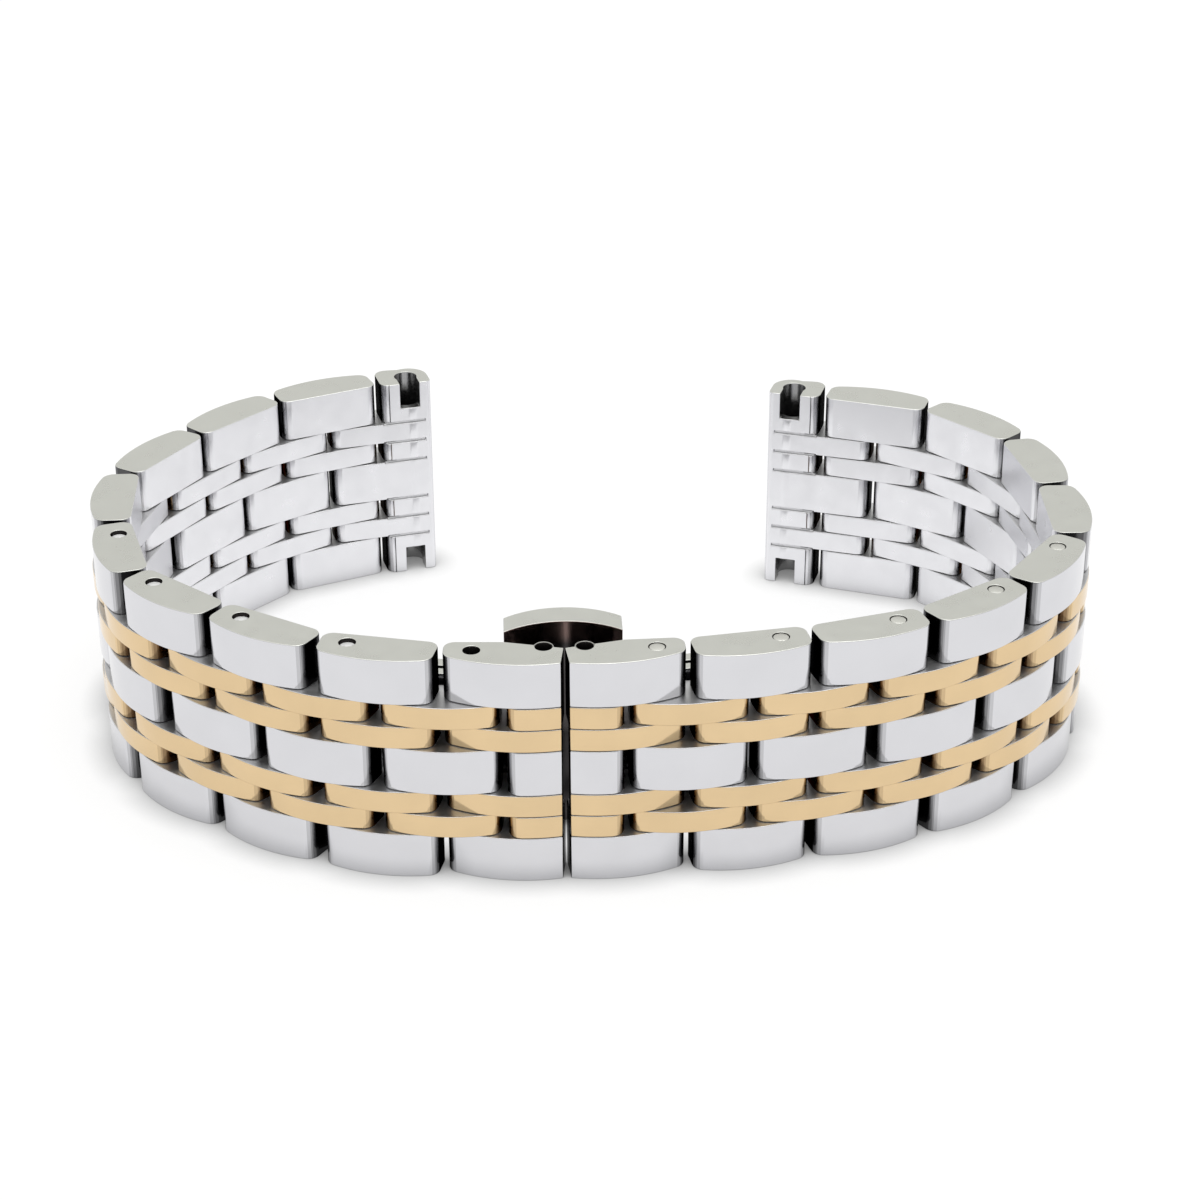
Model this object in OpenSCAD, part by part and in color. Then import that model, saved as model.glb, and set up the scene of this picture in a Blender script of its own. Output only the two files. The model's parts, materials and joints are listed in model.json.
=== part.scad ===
// Two-tone metal watch bracelet with a hidden double-folding clasp.
// It stands on its long edge with the clasp closed: rows of beads run round it, and every pin is upright.
// The right half is drawn, and the left half is its mirror image with bends of its own.

/* [Bracelet] */
// Width of the bracelet, across its seven rows of beads
band_w = 18; // [17:0.5:21]
// Distance from one link to the next in the same row
pitch = 9; // [8.8:0.1:10]
// Width of a gold row
gold_w = 1.75; // [1.5:0.05:1.9]
// Gap between neighbouring rows
row_gap = 0.05; // [0.04:0.01:0.08]
// Links of the outer rows on each side, with the end link
outer_links = 9; // [9]

/* [Link shape] */
// Thickness of a link at its middle
link_t = 3.5; // [3.3:0.1:3.8]
// Depth of a pin's axis below the wrist face
pin_depth = 1.25; // [1.2:0.05:1.4]
// Gap between the ends of two links of one row, when they lie straight
link_gap = 0.45; // [0.4:0.05:0.6]
// Radius of the arc of a link's outer face
face_r = 12; // [10:1:20]
// Radius of a link's corners on the outer side
corner_r = 0.95; // [0.7:0.05:1.1]
// Radius of a link's corners on the wrist side
inner_r = 0.85; // [0.5:0.05:0.9]

/* [Pins] */
// Diameter of a link pin
pin_d = 1.2; // [1:0.05:1.3]
// Clearance round a pin in the link that holds it
press_gap = 0.02; // [0.01:0.01:0.03]
// Clearance round a pin in the link that turns on it
run_gap = 0.05; // [0.04:0.01:0.08]
// Metal left over the end of a hidden pin
blind_wall = 1; // [0.8:0.1:1.4]
// Room between a hidden pin's end and that metal
end_room = 0.1; // [0.05:0.05:0.2]
// Links on each side, counted from the clasp, whose outer pin can be driven out
open_links = 5; // [1:1:8]
// How far the driven pins of the left half lie below the edge
left_recess = 0.3; // [0.1:0.1:0.6]
// How far the driven pins of the right half lie below the edge
right_recess = 0.05; // [0.05:0.05:0.2]
// Depth of the open hole over the pin of the left end link
deep_recess = 2.4; // [1:0.1:2.5]

/* [Rest pose] */
// Slope of each end link away from the seam, in degrees
splay = 2.5; // [2:0.5:3]
// Bend at each hinge of the left half from the clasp outward, in degrees
left_bends = [4, 7, 10, 10, 4, 5, 16, 16, 7, 7, 17, 17, 4, 7, 12, 11, 9]; // [0:1:18]
// Bend at each hinge of the right half from the clasp outward, in degrees
right_bends = [2, 5, 3, 4, 8, 10, 10, 10, 17, 17, 6, 5, 15, 17, 15, 13, 2]; // [0:1:18]
// Place of the clasp seam, from the middle of the footprint
seam_x = -2.43; // [-5:0.01:5]
// Place of the clasp seam, in front of the middle of the footprint
seam_y = -24.85; // [-27:0.05:-22]

/* [End links] */
// Distance from the seam to the first hinge
end_pin_x = 6.6; // [6.4:0.1:7]
// Distance from the seam to the highest point of the outer face
end_apex = 3; // [2:0.5:4]
// Gap at the seam on the wrist side
seam_gap = 0.12; // [0.1:0.02:0.2]
// Slope of each seam face, which opens the seam to the outside, in degrees
seam_relief = 4; // [1:0.5:5]
// Distance from the seam at which the wrist face starts to slope
taper_x = 4.4; // [4:0.1:5]
// Height of the wrist face over the pins' plane at the seam
seam_in = 0.35; // [0.3:0.05:0.4]
// Place of the clasp pin, from the seam along the end link and over the pins' plane
clasp_pin_at = [1.5, 0.55]; // [0:0.05:2]
// Radius of the knuckle round the clasp pin
knuckle_r = 0.75; // [0.72:0.01:0.8]
// Depth of the gold beads' seat, below the pins' plane
gold_seat = 1.35; // [1.3:0.05:1.4]
// Depth of the slot for the blade, below the pins' plane
slot_depth = 1; // [0.95:0.05:1.1]
// Length of the slot for the blade, from the seam
slot_len = 3.4; // [3.3:0.1:3.5]

/* [Clasp] */
// Width of the clasp's blades and of its base plate's wings
clasp_w = 12; // [11:0.5:13]
// Width of the blade's eyes
eye_w = 7; // [6:0.5:8]
// Clearance beside a blade's eye
eye_gap = 0.05; // [0.04:0.01:0.1]
// Radius of the curve on which the clasp lies
clasp_r = 47; // [45:1:50]
// Height of the blade's outer face over the pins' plane, at the seam
blade_in = 1.5; // [1.5:0.05:1.7]
// Thickness of a blade
blade_t = 0.8; // [0.7:0.05:0.9]
// Gap between a blade and the base plate
blade_gap = 0.4; // [0.3:0.05:0.5]
// Distance from the seam at which a blade's curved plate begins
plate_x = 4.2; // [4:0.1:4.6]
// Thickness of the base plate's wings
wing_t = 1; // [0.8:0.1:1.2]
// Place of a blade's hinge on the base plate
blade_hinge_at = [13.2, 4.4]; // [4:0.1:14]
// Radius of the eyes
eye_r = 0.95; // [0.9:0.05:1]
// Bare length between the eye and the plate of a blade
blade_neck = 0.35; // [0.3:0.05:0.5]
// Bare length between the eyes and the plate of a wing
wing_neck = 0.45; // [0.4:0.05:0.6]
// Diameter of the pins of the blades' hinges
blade_pin_d = 1; // [0.8:0.1:1.1]
// Length of the bowed middle of the base plate
bow_len = 8.6; // [8.4:0.1:9.3]
// Width of the bowed middle of the base plate
bow_w = 17; // [16:0.1:17.4]
// Thickness of the bowed middle of the base plate
bow_t = 2.2; // [1.6:0.1:2.4]
// Radius of the hollow face of the bow
bow_r = 6.85; // [6.8:0.05:7.2]
// Height of the hollow face of the bow over the pins' plane
bow_in = 5.3; // [5:0.1:5.4]
// Length and height of a wing's foot on the bow
foot_size = [1.1, 1.6]; // [0.9:0.1:1.8]
// How far the foot stands out of the bow
foot_step = 0.2; // [0.1:0.05:0.3]
// Place of a blade's catch stud
stud_at = [3.3, 2.9]; // [2.5:0.1:3.5]
// Diameter of a catch stud
stud_d = 1; // [0.8:0.05:1]
// Distance between the two lugs that hold a catch stud
lug_gap = 3.6; // [3.4:0.1:4]
// Width of each lug
lug_w = 1; // [0.7:0.1:1.2]
// Metal round a stud in its lugs
lug_rim = 0.3; // [0.2:0.05:0.35]
// Width of a spring jaw
jaw_w = 3.2; // [2.6:0.1:3.2]
// Length and height of a spring jaw
jaw_size = [1.9, 2.2]; // [1.5:0.1:2.5]
// How far a jaw's mouth reaches past the middle of its stud
jaw_lip = 0.2; // [0.1:0.05:0.3]
// Clearance between a jaw and its stud
jaw_gap = 0.18; // [0.12:0.02:0.2]
// Width of the base plate's window for the lugs and the jaws
window_w = 6.2; // [6:0.1:6.6]

/* [End pieces] */
// Gap between the last outer link and the end piece's short rows
end_gap = 0.5; // [0.5:0.05:0.7]
// Length of the end piece's short rows and nose
nose_len = 4.4; // [4.2:0.1:4.8]
// Length over which the end piece's rows stand apart
apart_len = 1.1; // [1.1:0.1:1.4]
// Radius of the nose on the outer side
nose_r = 1.7; // [1.6:0.05:1.75]
// Radius of the nose's corner on the wrist side
nose_edge_r = 0.5; // [0.4:0.05:0.7]
// Place of the spring bar's axis below the pins' plane
bar_drop = 0.4; // [0.35:0.05:0.45]
// Metal between the hole for the spring bar and the end of the nose
bar_wall = 0.95; // [0.8:0.05:1.1]
// Diameter of the hole for the spring bar
bar_hole_d = 1.9; // [1.6:0.1:2]
// Width of the notches for the spring bar's tool
notch_w = 1.7; // [1.5:0.1:1.8]
// Length of the notches, along the spring bar
notch_len = 2.3; // [2:0.1:2.6]
// Depth and width of the grooves that carry the rows onto the nose
groove = 0.25; // [0.2:0.05:0.3]
// Length left smooth between those grooves and the end of the nose
groove_stop = 0.6; // [0.5:0.05:0.9]

/* [Hidden] */
$fn = 64;
half_pitch = pitch / 2;
overhang = (half_pitch - link_gap) / 2;
wide_w = (band_w - 4 * gold_w - 6 * row_gap) / 3;
link_out = link_t - pin_depth;
pin_r = pin_d / 2;
blade_pin_r = blade_pin_d / 2;
mid_z = band_w / 2;
hinges = 2 * outer_links - 1;
skirt = 10;
past = 1;
overlap = 0.4;
uncut = 2;
end_len = end_pin_x + overhang;
web_end = end_pin_x - overhang - link_gap;
short_x = overhang + end_gap;
nose_end = short_x + nose_len;
bar_at = [nose_end - bar_wall - bar_hole_d / 2, -bar_drop];
stud_half = (lug_gap + lug_w) / 2;
steel = [0.78, 0.78, 0.76];
gold = [0.9, 0.76, 0.5];
dark_steel = [0.6, 0.6, 0.6];
outer_rows = [0:2:6];
inner_rows = [1:2:5];
sides = ["left", "right"];

// Rows are counted from the resting edge, from 0 to 6
function is_gold(row) = row == 1 || row == 2 || row == 4 || row == 5;
function row_w(row) = is_gold(row) ? gold_w : wide_w;
function row_z(row) = row == 0 ? 0 : row_z(row - 1) + row_w(row - 1) + row_gap;

// Where the hinges are: hinge 1 is the end link's, and the last one is the end piece's
function bends(side) = side == "left" ? left_bends : right_bends;
function heading(side, k) = k == 0 ? splay : heading(side, k - 1) + bends(side)[k - 1];
function along(angle) = [cos(angle), sin(angle)];
function hinge_at(side, k) = k == 1
    ? end_pin_x * along(splay)
    : hinge_at(side, k - 1) + half_pitch * along(heading(side, k - 1));

// Centre of a corner's circle that meets the arc of the outer face without a kink
function corner_at(x, apex) =
    [x, face_r - link_out - sqrt(pow(face_r - corner_r, 2) - pow(x - apex, 2))];

// Height of the clasp's curve over the pins' plane, at a distance from the seam and a depth in it
function curve_y(x, depth) = blade_in + depth + pow(x, 2) / (2 * clasp_r);

// Places a piece of one half in the frame, with the pins' plane at y = 0 and the wrist at +y
module on_side(side) {
    translate([seam_x, seam_y, 0])
        mirror([side == "left" ? 1 : 0, 0, 0]) children();
}

// Places a piece at a hinge, heading away from the clasp
module at_hinge(side, k) {
    on_side(side) translate(hinge_at(side, k)) rotate(heading(side, k)) children();
}

// Plan of a link from x0 to x1: flat wrist face, arched outer face, rounded corners
module link_plan(x0, x1, apex) {
    centre = [apex, face_r - link_out];
    first = corner_at(x0 + corner_r, apex);
    last = corner_at(x1 - corner_r, apex);
    shoulder = pin_depth - inner_r;
    intersection() {
        translate(centre) circle(face_r);
        polygon([centre, centre + 1.3 * (first - centre), centre + 1.3 * (last - centre)]);
        translate([x0, -link_out - past]) square([x1 - x0, link_t + past]);
    }
    polygon([[x0, first.y], first, last, [x1, last.y], [x1, shoulder], [x0, shoulder]]);
    translate([x0 + inner_r, 0]) square([x1 - x0 - 2 * inner_r, pin_depth]);
    for (corner = [first, last]) translate(corner) circle(corner_r);
    for (x = [x0 + inner_r, x1 - inner_r]) translate([x, shoulder]) circle(inner_r);
}

// Hole along a pin, over the stretch from z0 to z1
module pin_hole(at, r, z0, z1) {
    translate([at.x, at.y, z0]) cylinder(h = z1 - z0, r = r);
}

// Beads of the given rows of one link between two hinges, bored for their pins
module beads(rows, clearance, near_z, far_z) {
    for (row = rows) color(is_gold(row) ? gold : steel) difference() {
        translate([0, 0, row_z(row)]) linear_extrude(row_w(row))
            link_plan(-overhang, half_pitch + overhang, half_pitch / 2);
        pin_hole([0, 0], pin_r + clearance, near_z, band_w - near_z);
        pin_hole([half_pitch, 0], pin_r + clearance, far_z, band_w - far_z);
    }
}

// Link pin whose ends lie a given depth below the two edges
module link_pin(at, depth) {
    color(steel) translate([at.x, at.y, depth]) cylinder(h = band_w - 2 * depth, r = pin_r);
}

// Link of rows 0, 2, 4 and 6 with the two pins that it carries
module outer_link(side, i) {
    opened = i <= open_links;
    recess = side == "left" ? left_recess : right_recess;
    hidden = blind_wall - end_room;
    at_hinge(side, 2 * i - 2) {
        beads(outer_rows, press_gap, hidden, opened ? -past : hidden);
        link_pin([0, 0], blind_wall);
        link_pin([half_pitch, 0], opened ? recess : blind_wall);
    }
}

// Link of rows 1, 3 and 5, which turns on the pins of its neighbours
module centre_link(side, i) {
    at_hinge(side, 2 * i - 1) beads(inner_rows, run_gap, -past, -past);
}

// Plan of an end link before its seam face is cut: it gets thinner toward the seam on the wrist side
module end_link_plan(length) {
    drop = (pin_depth - seam_in) / taper_x;
    difference() {
        link_plan(-uncut, length, end_apex);
        polygon([
            [taper_x, pin_depth],
            [-skirt, seam_in - skirt * drop],
            [-skirt, skirt],
            [taper_x, skirt]]);
    }
}

// Everything beyond the seam face of an end link, which leans to open the seam outward
module beyond_seam() {
    lean = tan(seam_relief);
    polygon([
        [seam_gap / 2 - lean * link_t, seam_in + link_t],
        [seam_gap / 2 + lean * (seam_in + link_t), -link_t],
        [-skirt, -link_t],
        [-skirt, seam_in + link_t]]);
}

// Half bead of an end link, as long as the room before the first centre link leaves
module half_bead_plan() {
    intersection() {
        end_link_plan(end_len);
        link_plan(-uncut, web_end, end_apex);
    }
}

// Steel body of an end link: the two outer beads and the middle half bead on one web
module end_link(side) {
    recess = side == "left" ? deep_recess : right_recess;
    on_side(side) rotate(splay) {
        color(steel) difference() {
            union() {
                for (row = [0, 6]) translate([0, 0, row_z(row)]) linear_extrude(row_w(row)) {
                    end_link_plan(end_len);
                    translate(clasp_pin_at) circle(knuckle_r);
                }
                translate([0, 0, row_z(3)]) linear_extrude(row_w(3)) half_bead_plan();
                translate([0, 0, wide_w / 2]) linear_extrude(band_w - wide_w) intersection() {
                    half_bead_plan();
                    translate([-skirt, -gold_seat]) square(2 * skirt);
                }
            }
            translate([0, 0, -past]) linear_extrude(band_w + 2 * past) beyond_seam();
            translate([-past, -slot_depth, mid_z - eye_w / 2 - eye_gap])
                cube([slot_len + past, skirt, eye_w + 2 * eye_gap]);
            pin_hole(clasp_pin_at, pin_r + press_gap, -past, band_w + past);
            pin_hole([end_pin_x, 0], pin_r + press_gap, -past, band_w + past);
        }
        link_pin([end_pin_x, 0], recess);
    }
}

// Gold beads of an end link: two short ones and two long ones, seated over the web
module end_link_gold_beads(side) {
    on_side(side) rotate(splay) color(gold) for (row = [1, 2, 4, 5]) difference() {
        translate([0, 0, row_z(row)]) linear_extrude(row_w(row)) difference() {
            if (row == 1 || row == 5) half_bead_plan(); else end_link_plan(end_len);
            beyond_seam();
            translate([-skirt, -gold_seat]) square([skirt + web_end, skirt]);
        }
        pin_hole([end_pin_x, 0], pin_r + press_gap, -past, band_w + past);
    }
}

// Pin that joins an end link to its blade, deep inside the open holes at the edges
module clasp_pin(side) {
    depth = (band_w - clasp_w) / 2;
    on_side(side) rotate(splay) link_pin(clasp_pin_at, depth);
}

// Comb-shaped end piece: three tongues reach the last pin, and all rows meet in the nose
module end_piece_plan(x0) {
    nose_at = [nose_end - nose_r, -bar_drop];
    corner = [nose_end - nose_edge_r, pin_depth - nose_edge_r];
    intersection() {
        link_plan(x0, nose_end + uncut, half_pitch / 2);
        translate([-skirt, -skirt]) square([skirt + nose_at.x, 2 * skirt]);
    }
    translate(nose_at) circle(nose_r);
    translate(nose_at) square([nose_r, corner.y - nose_at.y]);
    translate(nose_at) square([corner.x - nose_at.x, pin_depth - nose_at.y]);
    translate(corner) circle(nose_edge_r);
}

module end_piece(side) {
    joined_x = short_x + apart_len;
    at_hinge(side, hinges) color(steel) difference() {
        union() {
            for (row = [0:6]) translate([0, 0, row_z(row)]) linear_extrude(row_w(row))
                end_piece_plan(row % 2 == 1 ? -overhang : short_x);
            linear_extrude(band_w) intersection() {
                end_piece_plan(short_x);
                translate([joined_x, -skirt]) square([skirt, 2 * skirt]);
            }
        }
        pin_hole([0, 0], pin_r + run_gap, -past, band_w + past);
        pin_hole(bar_at, bar_hole_d / 2, -past, band_w + past);
        for (z = [-past, band_w - notch_len])
            translate([bar_at.x - notch_w / 2, bar_at.y, z]) cube([notch_w, skirt, notch_len + past]);
        for (row = [1:6])
            translate([joined_x - past, pin_depth - groove, row_z(row) - (row_gap + groove) / 2])
                cube([nose_end - groove_stop - joined_x + past, past, groove]);
    }
}

// Strip of the clasp's curve between two depths and two distances from the seam
module clasp_strip(depth, thick, x0, x1) {
    intersection() {
        difference() {
            translate([0, blade_in + clasp_r]) circle(clasp_r - depth, $fn = 128);
            translate([0, blade_in + clasp_r]) circle(clasp_r - depth - thick, $fn = 128);
        }
        translate([x0, -skirt]) square([x1 - x0, 2 * skirt]);
    }
}

// Straight bar between two points
module bar_between(a, b, thick) {
    across = [a.y - b.y, b.x - a.x] / norm(b - a) * thick / 2;
    polygon([a - across, b - across, b + across, a + across]);
}

// Blade of one half: eye on the end link's pin, bar, curved plate and eye on the base plate
module clasp_blade(side) {
    pin = clasp_pin_at.x * along(splay) + clasp_pin_at.y * along(splay + 90);
    end_x = blade_hinge_at.x - eye_r - blade_neck;
    on_side(side) color(dark_steel) difference() {
        union() {
            translate([0, 0, mid_z - eye_w / 2]) linear_extrude(eye_w) {
                translate(pin) circle(eye_r);
                bar_between(pin + [0, blade_t / 2], [plate_x, curve_y(plate_x, blade_t / 2)], blade_t);
                clasp_strip(0, blade_t, plate_x - overlap, end_x);
                bar_between([end_x - overlap, curve_y(end_x, blade_t / 2)], blade_hinge_at, blade_t);
                translate(blade_hinge_at) circle(eye_r);
            }
            translate([0, 0, mid_z - clasp_w / 2]) linear_extrude(clasp_w)
                clasp_strip(0, blade_t, plate_x + overlap, end_x);
            for (z = [-lug_gap / 2 - lug_w, lug_gap / 2])
                translate([0, 0, mid_z + z]) linear_extrude(lug_w) {
                    translate(stud_at) circle(stud_d / 2 + lug_rim);
                    bar_between(stud_at, [stud_at.x, blade_in + blade_t / 2], stud_d + 2 * lug_rim);
                }
        }
        pin_hole(pin, pin_r + run_gap, -past, band_w + past);
        pin_hole(blade_hinge_at, blade_pin_r + run_gap, -past, band_w + past);
        stud_room = stud_half + end_room;
        pin_hole(stud_at, stud_d / 2 + press_gap, mid_z - stud_room, mid_z + stud_room);
    }
}

// Stud across the two lugs of a blade, which the jaw grips
module catch_stud(side) {
    on_side(side) color(steel) translate([stud_at.x, stud_at.y, mid_z - stud_half])
        cylinder(h = 2 * stud_half, r = stud_d / 2);
}

// Spring jaw in the hollow of the base plate, open toward the blade
module catch_jaw(side) {
    slot_r = stud_d / 2 + jaw_gap;
    on_side(side) color(steel) translate([0, 0, mid_z - jaw_w / 2]) linear_extrude(jaw_w) difference() {
        translate(stud_at - [jaw_size.x / 2, jaw_lip]) square(jaw_size);
        translate(stud_at) circle(slot_r);
        translate([stud_at.x - slot_r, 0]) square([2 * slot_r, stud_at.y]);
        bow_plan();
    }
}

// Pin of a blade's hinge on the base plate
module blade_hinge_pin(side) {
    on_side(side) color(steel)
        translate([blade_hinge_at.x, blade_hinge_at.y, mid_z - clasp_w / 2])
            cylinder(h = clasp_w, r = blade_pin_r);
}

// Plan of the bowed middle of the base plate, which bulges toward the wrist
module bow_plan() {
    intersection() {
        difference() {
            translate([0, bow_in + bow_t - bow_r]) circle(bow_r);
            translate([0, bow_in - bow_r]) circle(bow_r);
        }
        translate([-bow_len / 2, 0]) square([bow_len, skirt]);
    }
}

// Half of the base plate: wing, its foot on the bow, and the outer fingers of the blade's hinge
module base_wing() {
    depth = blade_t + blade_gap;
    foot_x = bow_len / 2 + foot_step - foot_size.x;
    end_x = blade_hinge_at.x - eye_r - wing_neck;
    finger_gap = eye_w / 2 + eye_gap;
    window_end = max(foot_x + foot_size.x, stud_at.x + jaw_size.x / 2) + end_room;
    difference() {
        translate([0, 0, mid_z - clasp_w / 2]) linear_extrude(clasp_w) {
            clasp_strip(depth, wing_t, foot_x, end_x);
            translate([foot_x, blade_in + depth + wing_t / 2]) square(foot_size);
            bar_between([end_x - overlap / 2, curve_y(end_x, depth + wing_t / 2)], blade_hinge_at, wing_t);
            translate(blade_hinge_at) circle(eye_r);
        }
        translate([end_x - eye_gap, 0, mid_z - finger_gap]) cube([skirt, skirt, 2 * finger_gap]);
        translate([0, 0, mid_z - window_w / 2]) cube([window_end, skirt, window_w]);
        pin_hole(blade_hinge_at, blade_pin_r + press_gap, -past, band_w + past);
    }
}

// Base plate of the clasp: a bowed middle with a wing on each side
module clasp_base_plate() {
    color(steel) {
        translate([seam_x, seam_y, mid_z - bow_w / 2]) linear_extrude(bow_w) bow_plan();
        for (side = sides) on_side(side) base_wing();
    }
}

for (side = sides) {
    end_link(side);
    end_link_gold_beads(side);
    clasp_pin(side);
    for (i = [2:outer_links])
        outer_link(side, i);
    for (i = [1:outer_links - 1])
        centre_link(side, i);
    end_piece(side);
    clasp_blade(side);
    blade_hinge_pin(side);
    catch_stud(side);
    catch_jaw(side);
}
clasp_base_plate();
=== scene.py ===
"""Looks of the two-tone metal watch bracelet: polished steel and gold, bevelled edges, pale studio."""
import json
import math
import bpy
from mathutils import Euler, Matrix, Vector

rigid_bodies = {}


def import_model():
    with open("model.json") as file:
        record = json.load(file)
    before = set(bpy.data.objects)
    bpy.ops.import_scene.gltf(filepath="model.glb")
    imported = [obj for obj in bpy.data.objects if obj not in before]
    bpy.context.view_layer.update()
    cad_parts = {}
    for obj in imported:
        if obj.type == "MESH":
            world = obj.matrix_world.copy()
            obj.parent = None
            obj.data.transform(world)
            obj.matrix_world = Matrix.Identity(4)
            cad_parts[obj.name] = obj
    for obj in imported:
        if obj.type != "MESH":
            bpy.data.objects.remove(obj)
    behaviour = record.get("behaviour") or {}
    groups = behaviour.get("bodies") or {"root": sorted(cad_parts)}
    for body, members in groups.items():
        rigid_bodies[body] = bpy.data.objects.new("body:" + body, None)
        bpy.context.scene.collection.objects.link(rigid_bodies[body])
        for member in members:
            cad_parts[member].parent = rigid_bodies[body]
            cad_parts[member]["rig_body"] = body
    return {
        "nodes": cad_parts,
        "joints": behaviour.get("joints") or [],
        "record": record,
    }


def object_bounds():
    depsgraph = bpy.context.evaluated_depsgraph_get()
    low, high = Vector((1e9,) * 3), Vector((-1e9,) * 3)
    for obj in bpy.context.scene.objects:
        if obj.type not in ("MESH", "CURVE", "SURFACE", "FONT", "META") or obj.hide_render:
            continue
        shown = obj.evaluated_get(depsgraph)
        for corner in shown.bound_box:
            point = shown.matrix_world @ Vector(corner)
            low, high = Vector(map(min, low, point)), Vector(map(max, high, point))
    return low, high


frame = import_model()
cad_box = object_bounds()

MM = 0.001

# Rows of beads, counted from the lower edge
ROWS = 7
GOLD_ROWS = (1, 2, 4, 5)
GOLD_ROW_W = 1.75 * MM
ROW_GAP = 0.05 * MM
BAND_W = cad_box[1].z - cad_box[0].z
WIDE_ROW_W = (BAND_W - len(GOLD_ROWS) * GOLD_ROW_W - (ROWS - 1) * ROW_GAP) / (ROWS - len(GOLD_ROWS))

# Link pins: the radius that takes in a pin and its hole, and the depth of a pin that is still well lit;
# deeper pin ends get painted light
PIN_R = 0.68 * MM
SHALLOW = 0.2 * MM

# End pieces: spring bar, notches for its tool, and the distance from the pin past which all is nose
BAR_R = 0.95 * MM
NOTCH_W = 1.7 * MM
NOTCH_LEN = 2.3 * MM
NOSE_FROM = 3.4 * MM

# Clasp: its pieces, its bow's length, and the heights between which the hollow's painted shade fades into
# its painted reflection
CLASP_PARTS = ("clasp_base", "blade", "catch")
BOW_LEN = 8.6 * MM
HOLLOW_DARK_BELOW = BAND_W - 2.4 * MM
HOLLOW_LIGHT_ABOVE = BAND_W - 1.6 * MM

# How closely a face's place is compared with a size
HAIR = 0.03 * MM

# Rounded edges: width on links and on the clasp, steps, and the angle from which an edge is rounded
EDGE = 0.08 * MM
FINE_EDGE = 0.06 * MM
EDGE_STEPS = 2
SHARP = math.radians(35)

# Clean-up of a mesh: how near points are joined, and up to which angle faces count as one
WELD_REACH = 0.0005 * MM
STILL_FLAT = math.radians(0.3)

# Say of large faces in the shading of the edges between them, of 100
LARGE_FACES = 100

# Cosines past which a face counts as level, as looking to the wrist, as no more gold on its way there,
# as not looking to the front, and as looking into its hole
LEVEL = 0.9
TO_WRIST = 0.8
GOLD_ENDS = 0.35
TO_FRONT = -0.3
INTO_HOLE = -0.5

# Colours as they render, linear
STEEL = (0.7, 0.7, 0.725, 1)
# Satin steel of the faces to the wrist, lightened as painted light against the shade inside the band
LIGHTENED_WRIST_STEEL = (0.84, 0.84, 0.865, 1)
SATIN = (0.7, 0.705, 0.665, 1)
# Lighter steel on level faces between the rows, painted light that softens their shade and their reflections
# in the gaps
LIGHTENED_LEDGE_STEEL = (0.75, 0.75, 0.76, 1)
PIN_STEEL = (0.68, 0.68, 0.64, 1)
# Painted light: bright, rough steel on pin ends deep in their holes
DEEP_PIN_PAINTED_LIGHT = (0.95, 0.95, 0.95, 1)
# Darker copy of the steel on the clasp's faces that do not look to the front, painted shade
SHADED_CLASP_STEEL = (0.55, 0.55, 0.56, 1)
# Painted shade: dark steel on the clasp's faces to the front beside the bow, seen through the seam
CLASP_FRONT_SHADE = (0.22, 0.22, 0.225, 1)
GOLD = (0.78, 0.585, 0.345, 1)
# Painted shade in the gaps: the darkest steel and gold on bead ends turned into them, the gold one also a
# painted brown reflection of gold in gold
STEEL_GAP_SHADE = (0.03, 0.03, 0.03, 1)
GOLD_GAP_SHADE = (0.09, 0.035, 0.01, 1)
# Painted shade: near-black walls of the pin holes and sides of the pins in them
BORE_SHADE = (0.04, 0.036, 0.036, 1)
# Painted shade: darker steel in the spring bar's hole and in the notches for its tool
NOTCH_SHADE = (0.42, 0.42, 0.42, 1)
# Painted reflection of the end links' dark backs in the bow's polished hollow, and painted shade deeper down
# in it
HOLLOW_PAINTED_REFLECTION = (0.32, 0.22, 0.2, 1)
HOLLOW_PAINTED_SHADE = (0.07, 0.065, 0.065, 1)
FLOOR = (0.28, 0.28, 0.283, 1)
WHITE = (1, 1, 1, 1)

# Painted shade in the gaps: how far a bead's end is turned into the gap, as a cosine, and the share of its
# outer colour left there
SHADES = ((0.95, 0.1), (0.86, 0.27), (0.72, 0.5), (0.55, 0.77))
GAP_ROUGHNESS = 0.15

# Clouds in a metal's colour: noise per metre, its detail, and how hard they stand out
CLOUDS = 260
CLOUD_DETAIL = 3
CLOUD_SPREAD = (-0.2, 1.2)

# Smudges in its gloss: noise per metre, its detail, and the least and the greatest share of the roughness
SMUDGES = 700
SMUDGE_DETAIL = 4
SMUDGE_SPREAD = (0.6, 1.6)

# Hairline scratches: noise per metre, its detail, its stretch and slant in radians, and their depth
HAIRLINES = 9000
HAIRLINE_DETAIL = 2
HAIRLINE_STRETCH = (1, 1, 0.06)
HAIRLINE_SLANT = (0.9, 0.5, 0.3)
HAIRLINE_DEPTH = 0.02 * MM

# Floor: its size in metres, its gloss and glow, and how near the bracelet that glow fades
FLOOR_SIZE = 6
FLOOR_ROUGHNESS = 0.9
FLOOR_LIFT = 0.74
CONTACT_REACH = 2.6 * MM

# Room, which is white at its top: its colour at the bottom, and its level at heights between, with less blue
ROOM_BOTTOM = (0.95, 0.95, 0.97, 1)
ROOM_LEVELS = ((0.2, 0.85), (0.4, 0.74), (0.6, 0.74), (0.8, 0.95))
ROOM_BLUE = 0.97

# Softbox over the bracelet, in metres and watts
SOFTBOX_AT = Vector((0.05, -0.05, 0.6))
SOFTBOX_SIZE = 0.5
SOFTBOX_POWER = 1.2

# Camera of the photograph
CAMERA_AT = Vector((-5.8, -197.9, 112.6)) * MM
LOOKS_AT = Vector((0.95, -0.15, 9)) * MM
FOCAL_PX = 2785
IMAGE_PX = 1200
ROLL = math.radians(-0.24)
SENSOR_MM = 36
CLIP_START = 10 * MM

# Places of the colour sockets on a mix node
MIX_FACTOR, MIX_FIRST, MIX_SECOND, MIX_RESULT = 0, 6, 7, 2


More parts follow.
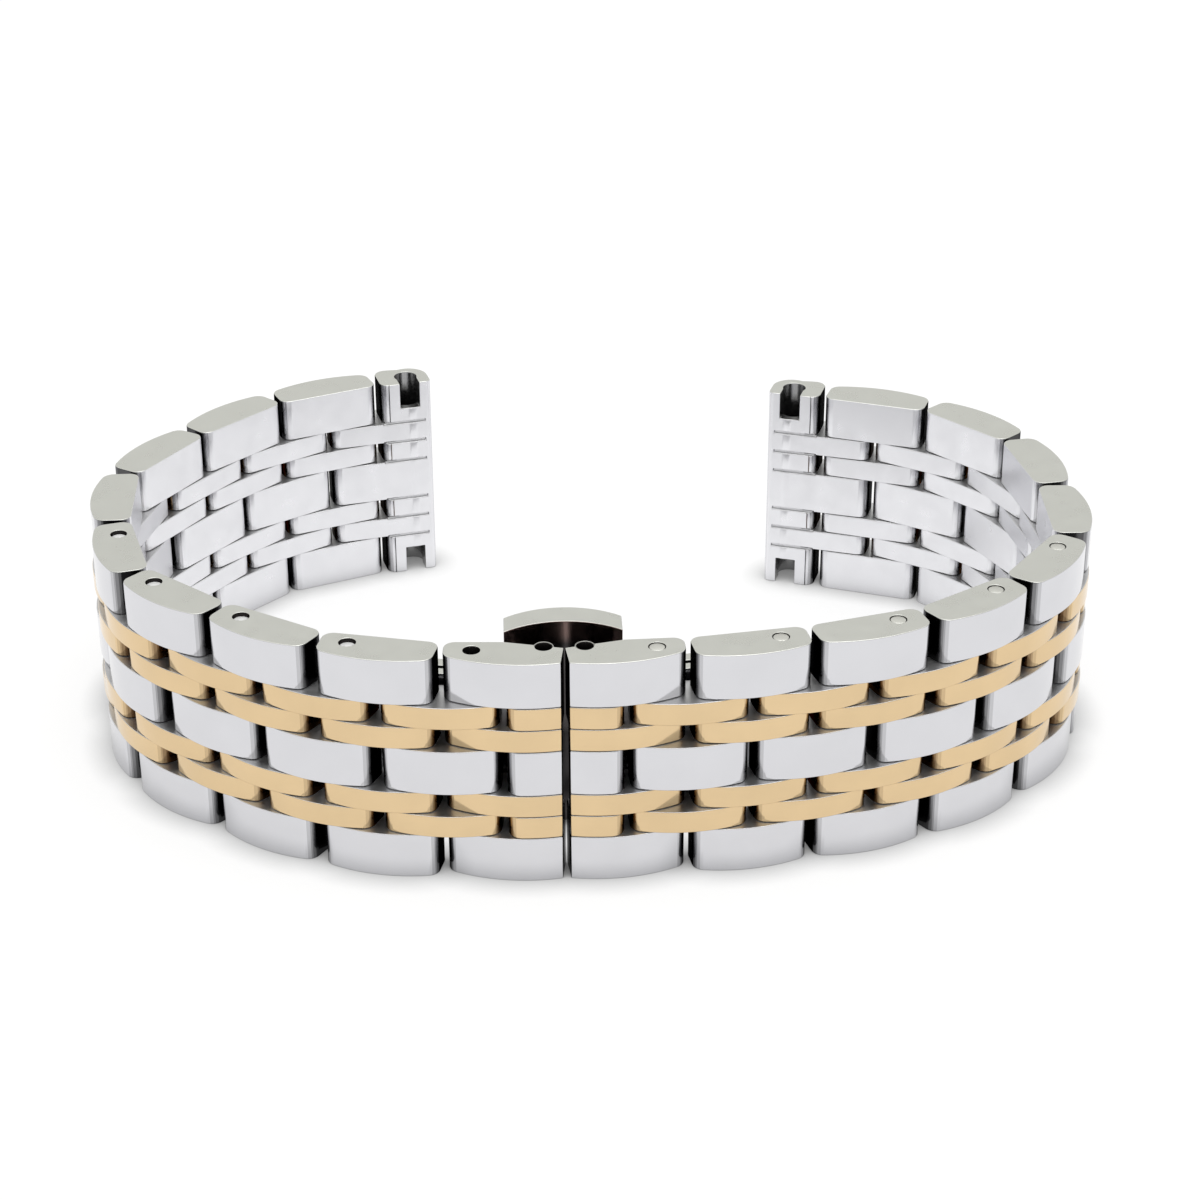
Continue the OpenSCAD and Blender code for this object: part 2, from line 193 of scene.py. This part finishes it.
class Shader:
    """Node tree of a material, with short calls to add and join nodes."""

    def __init__(self, material):
        self.material = material
        self.material.use_nodes = True
        self.tree = self.material.node_tree
        self.surface = self.tree.nodes["Principled BSDF"]

    def add(self, kind, **inputs):
        """Adds a node and sets its sockets by name."""
        node = self.tree.nodes.new(kind)
        for name, value in inputs.items():
            node.inputs[name.replace("_", " ")].default_value = value
        return node

    def join(self, out, into):
        self.tree.links.new(out, into)

    def place(self):
        return self.add("ShaderNodeTexCoord").outputs["Object"]

    def noise(self, place, scale, detail):
        node = self.add("ShaderNodeTexNoise", Scale=scale, Detail=detail)
        self.join(place, node.inputs["Vector"])
        return node.outputs["Fac"]

    def maths(self, operation, first, second):
        node = self.add("ShaderNodeMath")
        node.operation = operation
        self.join(first, node.inputs[0])
        self.join(second, node.inputs[1])
        return node.outputs[0]

    def between(self, value, low, high):
        """0 at the low value, 1 at the high one."""
        node = self.add("ShaderNodeMapRange", From_Min=low, From_Max=high)
        self.join(value, node.inputs["Value"])
        return node.outputs["Result"]

    def spread(self, factor, low, high):
        """Maps a factor of 0 to 1 onto the range from low to high."""
        node = self.add("ShaderNodeMapRange", To_Min=low, To_Max=high)
        self.join(factor, node.inputs["Value"])
        return node.outputs["Result"]

    def blend(self, factor, colour):
        """Mix node from a colour to its second input, which is left to the caller."""
        node = self.add("ShaderNodeMix")
        node.data_type = "RGBA"
        node.inputs[MIX_FIRST].default_value = colour
        self.join(factor, node.inputs[MIX_FACTOR])
        return node


def metal(name, colour, roughness, scratch=0.03, clouding=0.93, glance=1):
    """Metal with faint clouding of its colour and gloss, and with hairline scratches.

    The scratch is their strength, the clouding the share of the colour that is left in a cloud, and the
    glance how brightly the metal shines when it is seen almost from the side.
    """
    shader = Shader(bpy.data.materials.new(name))
    place = shader.place()
    clouds = shader.spread(shader.noise(place, CLOUDS, CLOUD_DETAIL), *CLOUD_SPREAD)
    tint = shader.blend(clouds, shade(colour, clouding))
    tint.inputs[MIX_SECOND].default_value = colour
    shader.join(tint.outputs[MIX_RESULT], shader.surface.inputs["Base Color"])

    smudges = shader.noise(place, SMUDGES, SMUDGE_DETAIL)
    gloss = shader.spread(smudges, *(roughness * share for share in SMUDGE_SPREAD))
    shader.join(gloss, shader.surface.inputs["Roughness"])

    stretch = shader.add("ShaderNodeMapping", Scale=HAIRLINE_STRETCH, Rotation=HAIRLINE_SLANT)
    shader.join(place, stretch.inputs["Vector"])
    hairlines = shader.noise(stretch.outputs["Vector"], HAIRLINES, HAIRLINE_DETAIL)
    bump = shader.add("ShaderNodeBump", Strength=scratch, Distance=HAIRLINE_DEPTH)
    shader.join(hairlines, bump.inputs["Height"])
    shader.join(bump.outputs["Normal"], shader.surface.inputs["Normal"])
    shader.surface.inputs["Metallic"].default_value = 1
    shader.surface.inputs["Specular Tint"].default_value = (glance, glance, glance, 1)
    return shader.material


def painted_shade_below(material, colour, low_z, high_z):
    """Paints shade: lets a material's colour fade to another one below a height, as deep inside the clasp.
    """
    shader = Shader(material)
    own = shader.surface.inputs["Base Color"].links[0].from_socket
    parts = shader.add("ShaderNodeSeparateXYZ")
    shader.join(shader.place(), parts.inputs[0])
    fade = shader.blend(shader.between(parts.outputs["Z"], low_z, high_z), colour)
    shader.join(own, fade.inputs[MIX_SECOND])
    shader.join(fade.outputs[MIX_RESULT], shader.surface.inputs["Base Color"])
    return material


def shade(colour, level, deep=(0, 0, 0, 1)):
    """A colour between a deep one, at level 0, and its own, at level 1."""
    return tuple(d + (c - d) * level for c, d in zip(colour, deep))


def all_finishes():
    """Materials by name, each with its colour and roughness; several are darker or lighter copies that paint
    shade and light.

    At an edge between two of them, the middle of the rounding takes the one that comes first.
    """
    finishes = {
        # Painted shade in the holes, first so that the rims' rounding darkens too
        "bore": metal("bore_painted_shade", BORE_SHADE, 0.35, glance=0),
        "gold": metal("polished_gold", GOLD, 0.12, clouding=0.88),
        "steel": metal("polished_steel", STEEL, 0.1),
        # Painted light: lightened steel on the faces to the wrist
        "wrist": metal("wrist_steel_painted_light", LIGHTENED_WRIST_STEEL, 0.3, scratch=0.004, clouding=0.97),
        "pin": metal("pin_steel", PIN_STEEL, 0.4),
        # Painted light on deep pin ends
        "deep_pin": metal("deep_pin_painted_light", DEEP_PIN_PAINTED_LIGHT, 0.8),
        "clasp": metal("clasp_steel", SHADED_CLASP_STEEL, 0.12),
        "satin": metal("satin_steel", SATIN, 0.28, scratch=0.008, clouding=0.97),
        # Painted light on level faces between the rows
        "ledge": metal("ledge_steel_painted_light", LIGHTENED_LEDGE_STEEL, 0.4),
        "notch": metal("notch_painted_shade", NOTCH_SHADE, 0.2),
        "hollow": metal("hollow_painted_reflection", HOLLOW_PAINTED_REFLECTION, 0.1),
        # Painted shade on the clasp's front faces
        "clasp_front": metal("clasp_front_painted_shade", CLASP_FRONT_SHADE, 0.15),
    }
    # Painted shade fading in below, deep inside the bow
    painted_shade_below(finishes["hollow"], HOLLOW_PAINTED_SHADE, HOLLOW_DARK_BELOW, HOLLOW_LIGHT_ABOVE)
    for _, level in SHADES:
        for outer, colour, deep in (("steel", STEEL, STEEL_GAP_SHADE), ("gold", GOLD, GOLD_GAP_SHADE)):
            # Darker copies of steel and gold for the gap faces, painted shade, with their glance dimmed as
            # well
            painted_gap_shade = metal(f"{outer}_at_{level}", shade(colour, level, deep), GAP_ROUGHNESS, glance=level)
            finishes[f"{outer}_{level}"] = painted_gap_shade
    return finishes


FINISHES = all_finishes()
SLOTS = {name: index for index, name in enumerate(FINISHES)}


def row_bottom(row):
    gold_below = sum(gold < row for gold in GOLD_ROWS)
    return gold_below * GOLD_ROW_W + (row - gold_below) * WIDE_ROW_W + row * ROW_GAP


def in_gold_row(z):
    return any(row_bottom(row) < z < row_bottom(row) + GOLD_ROW_W for row in GOLD_ROWS)


def holes_of(body):
    """Flat places of a link's two pins, or of an end piece's pin and spring bar, from the clasp outward."""
    side, kind = body.split("_", 1)
    turns_on = [joint["pos_m"] for joint in frame["joints"] if joint["child"] == body]
    carries = [joint["pos_m"] for joint in frame["joints"] if joint["parent"] == body]
    mounts = frame["record"]["mounts"] if kind == "end_piece" else []
    bars = [mount["pos_m"] for mount in mounts if mount["name"].startswith(side)]
    return [Vector(place[:2]) for place in turns_on + carries + bars]


def directions(body):
    """A link's direction away from the clasp, and its direction to the wrist."""
    first, last = holes_of(body)
    run = (last - first).normalized()
    across = Vector((-run.y, run.x))
    return run, across if body.startswith("right") else -across


def dress(node, width):
    """Rounds a CAD node's edges, with its own shape kept, and gives it room for every finish."""
    node.data.materials.clear()
    for finish in FINISHES.values():
        node.data.materials.append(finish)
    weld = node.modifiers.new("Weld", "WELD")
    weld.merge_threshold = WELD_REACH
    flat = node.modifiers.new("Flat faces", "DECIMATE")
    flat.decimate_type = "DISSOLVE"
    flat.angle_limit = STILL_FLAT
    flat.delimit = {"MATERIAL"}
    edge = node.modifiers.new("Rounded edges", "BEVEL")
    edge.limit_method = "ANGLE"
    edge.angle_limit = SHARP
    edge.width = width
    edge.segments = EDGE_STEPS
    edge.use_clamp_overlap = False
    edge.loop_slide = False
    even = node.modifiers.new("Even shading", "WEIGHTED_NORMAL")
    even.weight = LARGE_FACES
    for face in node.data.polygons:
        face.use_smooth = True


def paint(node, choose, *places):
    """Gives each face the finish that a function chooses for it."""
    for face in node.data.polygons:
        face.material_index = SLOTS[choose(face, *places)]


def lies_on_edge(z):
    return z < HAIR or z > BAND_W - HAIR


def is_level(face):
    return abs(face.normal.z) > LEVEL


def level_finish(face):
    return "satin" if lies_on_edge(face.center.z) else "ledge"


def pin_finish(face):
    if not is_level(face):
        # Painted shade on a pin's side, down in its hole
        return "bore"
    depth = min(face.center.z, BAND_W - face.center.z)
    # Pin ends deeper than that get painted light
    return "pin" if depth < SHALLOW else "deep_pin"


def flat_centre(face):
    return Vector(face.center[:2])


def flat_normal(face):
    return Vector(face.normal[:2])


def hole_wall(face, holes, radius):
    """Whether a face is the wall of a hole round one of these places."""
    offsets = [flat_centre(face) - hole for hole in holes]
    nearest = min(offsets, key=lambda offset: offset.length)
    return nearest.length < radius + HAIR and flat_normal(face).dot(nearest) < INTO_HOLE * nearest.length


def on_pin(face, holes):
    """Whether a face is the end or the side of a pin."""
    return min((flat_centre(face) - hole).length for hole in holes) < PIN_R


def side_finish(face, run, wrist):
    """Finish of an upright face of a row: gold on the outside, steel to the wrist, painted shade in the
    gaps.
    """
    normal = flat_normal(face)
    into_gap = abs(normal.dot(run))
    outer = "gold" if in_gold_row(face.center.z) and normal.dot(wrist) < GOLD_ENDS else "steel"
    for least, level in SHADES:
        if into_gap > least:
            # Painted shade on a bead's end turned into the gap
            return f"{outer}_{level}"
    return "wrist" if normal.dot(wrist) > TO_WRIST else outer


def link_finish(face, holes, run, wrist):
    if hole_wall(face, holes, PIN_R):
        # Painted shade on the wall of a pin's hole
        return "bore"
    if on_pin(face, holes):
        return pin_finish(face)
    return level_finish(face) if is_level(face) else side_finish(face, run, wrist)


def end_piece_finish(face, holes, run, wrist):
    pin, bar = holes
    from_bar = flat_centre(face) - bar
    near_edge = not NOTCH_LEN + HAIR < face.center.z < BAND_W - NOTCH_LEN - HAIR
    beside_bar = abs(from_bar.dot(run)) < NOTCH_W / 2 + HAIR and from_bar.dot(wrist) > 0
    if hole_wall(face, [pin], PIN_R):
        return "bore"
    # Painted shade in the spring bar's hole and its notches
    if hole_wall(face, [bar], BAR_R):
        return "notch"
    if near_edge and beside_bar and not lies_on_edge(face.center.z):
        return "notch"
    if is_level(face):
        return level_finish(face)
    if (flat_centre(face) - pin).dot(run) > NOSE_FROM:
        return "wrist" if flat_normal(face).dot(wrist) > TO_WRIST else "steel"
    return side_finish(face, run, wrist)


def seam_x():
    """Place of the seam, between the pins that join the two end links to the clasp."""
    pins = [joint["pos_m"][0] for joint in frame["joints"] if joint["child"].endswith("end_link")]
    return sum(pins) / len(pins)


def clasp_finish(face, bow_x):
    if is_level(face):
        return "satin"
    if face.normal.y > TO_FRONT:
        # Painted shade on the clasp's faces turned away from the front
        return "clasp"
    # Painted reflection and shade in the bow's hollow, painted shade on the clasp's other front faces
    return "hollow" if abs(face.center.x - bow_x) < BOW_LEN / 2 else "clasp_front"


def finish_pieces():
    """Rounds and colours every piece."""
    for name, node in frame["nodes"].items():
        body = node["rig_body"]
        if any(part in name for part in CLASP_PARTS):
            dress(node, FINE_EDGE)
            paint(node, clasp_finish, seam_x())
        else:
            dress(node, EDGE)
            choose = end_piece_finish if "end_piece" in name else link_finish
            paint(node, choose, holes_of(body), *directions(body))


def add_softbox():
    lamp = bpy.data.lights.new("overhead_softbox", "AREA")
    lamp.size = SOFTBOX_SIZE
    lamp.energy = SOFTBOX_POWER
    holder = bpy.data.objects.new("overhead_softbox", lamp)
    holder.location = SOFTBOX_AT
    holder.rotation_euler = (LOOKS_AT - SOFTBOX_AT).to_track_quat("-Z", "Y").to_euler()
    bpy.context.scene.collection.objects.link(holder)


def seen_white(shader):
    """1 for rays from the camera, from gloss and through glass."""
    path = shader.add("ShaderNodeLightPath").outputs
    direct = shader.maths("MAXIMUM", path["Is Camera Ray"], path["Is Glossy Ray"])
    return shader.maths("MAXIMUM", direct, path["Is Transmission Ray"])


def add_floor():
    bpy.ops.mesh.primitive_plane_add(size=FLOOR_SIZE)
    floor = bpy.context.object
    floor.name = "floor"
    shader = Shader(bpy.data.materials.new("pale_floor"))
    shader.surface.inputs["Base Color"].default_value = FLOOR
    shader.surface.inputs["Roughness"].default_value = FLOOR_ROUGHNESS
    shader.surface.inputs["Specular IOR Level"].default_value = 0
    shader.surface.inputs["Emission Color"].default_value = WHITE
    open_round = shader.add("ShaderNodeAmbientOcclusion", Distance=CONTACT_REACH)
    lift = shader.spread(open_round.outputs["AO"], 0, FLOOR_LIFT)
    seen = shader.maths("MULTIPLY", seen_white(shader), lift)
    shader.join(seen, shader.surface.inputs["Emission Strength"])
    floor.data.materials.append(shader.material)


def add_room(tree):
    """Plain pale room for gloss and light, with a greyer back wall."""
    room = tree.nodes["Background"]
    place = tree.nodes.new("ShaderNodeTexCoord")
    parts = tree.nodes.new("ShaderNodeSeparateXYZ")
    tree.links.new(place.outputs["Generated"], parts.inputs[0])
    ramp = tree.nodes.new("ShaderNodeValToRGB")
    tree.links.new(parts.outputs["Z"], ramp.inputs[0])
    stops = ramp.color_ramp.elements
    stops[0].color = ROOM_BOTTOM
    stops[1].color = WHITE
    for height, level in ROOM_LEVELS:
        stop = stops.new(height)
        stop.color = (level, level, level * ROOM_BLUE, 1)
    tree.links.new(ramp.outputs[0], room.inputs["Color"])
    room.inputs["Strength"].default_value = 1
    return room


def add_world():
    """White for the camera, and the room for all other rays."""
    world = bpy.data.worlds.new("studio")
    world.use_nodes = True
    bpy.context.scene.world = world
    tree = world.node_tree
    white = tree.nodes.new("ShaderNodeBackground")
    white.inputs["Color"].default_value = WHITE
    path = tree.nodes.new("ShaderNodeLightPath")
    mix = tree.nodes.new("ShaderNodeMixShader")
    tree.links.new(path.outputs["Is Camera Ray"], mix.inputs[0])
    tree.links.new(add_room(tree).outputs[0], mix.inputs[1])
    tree.links.new(white.outputs[0], mix.inputs[2])
    tree.links.new(mix.outputs[0], tree.nodes["World Output"].inputs["Surface"])


def add_camera():
    data = bpy.data.cameras.new("camera")
    data.sensor_width = SENSOR_MM
    data.lens = FOCAL_PX / IMAGE_PX * SENSOR_MM
    data.clip_start = CLIP_START
    camera = bpy.data.objects.new("camera", data)
    camera.location = CAMERA_AT
    turn = (LOOKS_AT - CAMERA_AT).to_track_quat("-Z", "Y").to_matrix()
    camera.rotation_euler = (turn @ Euler((0, 0, ROLL)).to_matrix()).to_euler()
    bpy.context.scene.collection.objects.link(camera)
    bpy.context.scene.camera = camera


finish_pieces()
add_floor()
add_world()
add_softbox()
add_camera()
bpy.context.scene.view_settings.view_transform = "Standard"
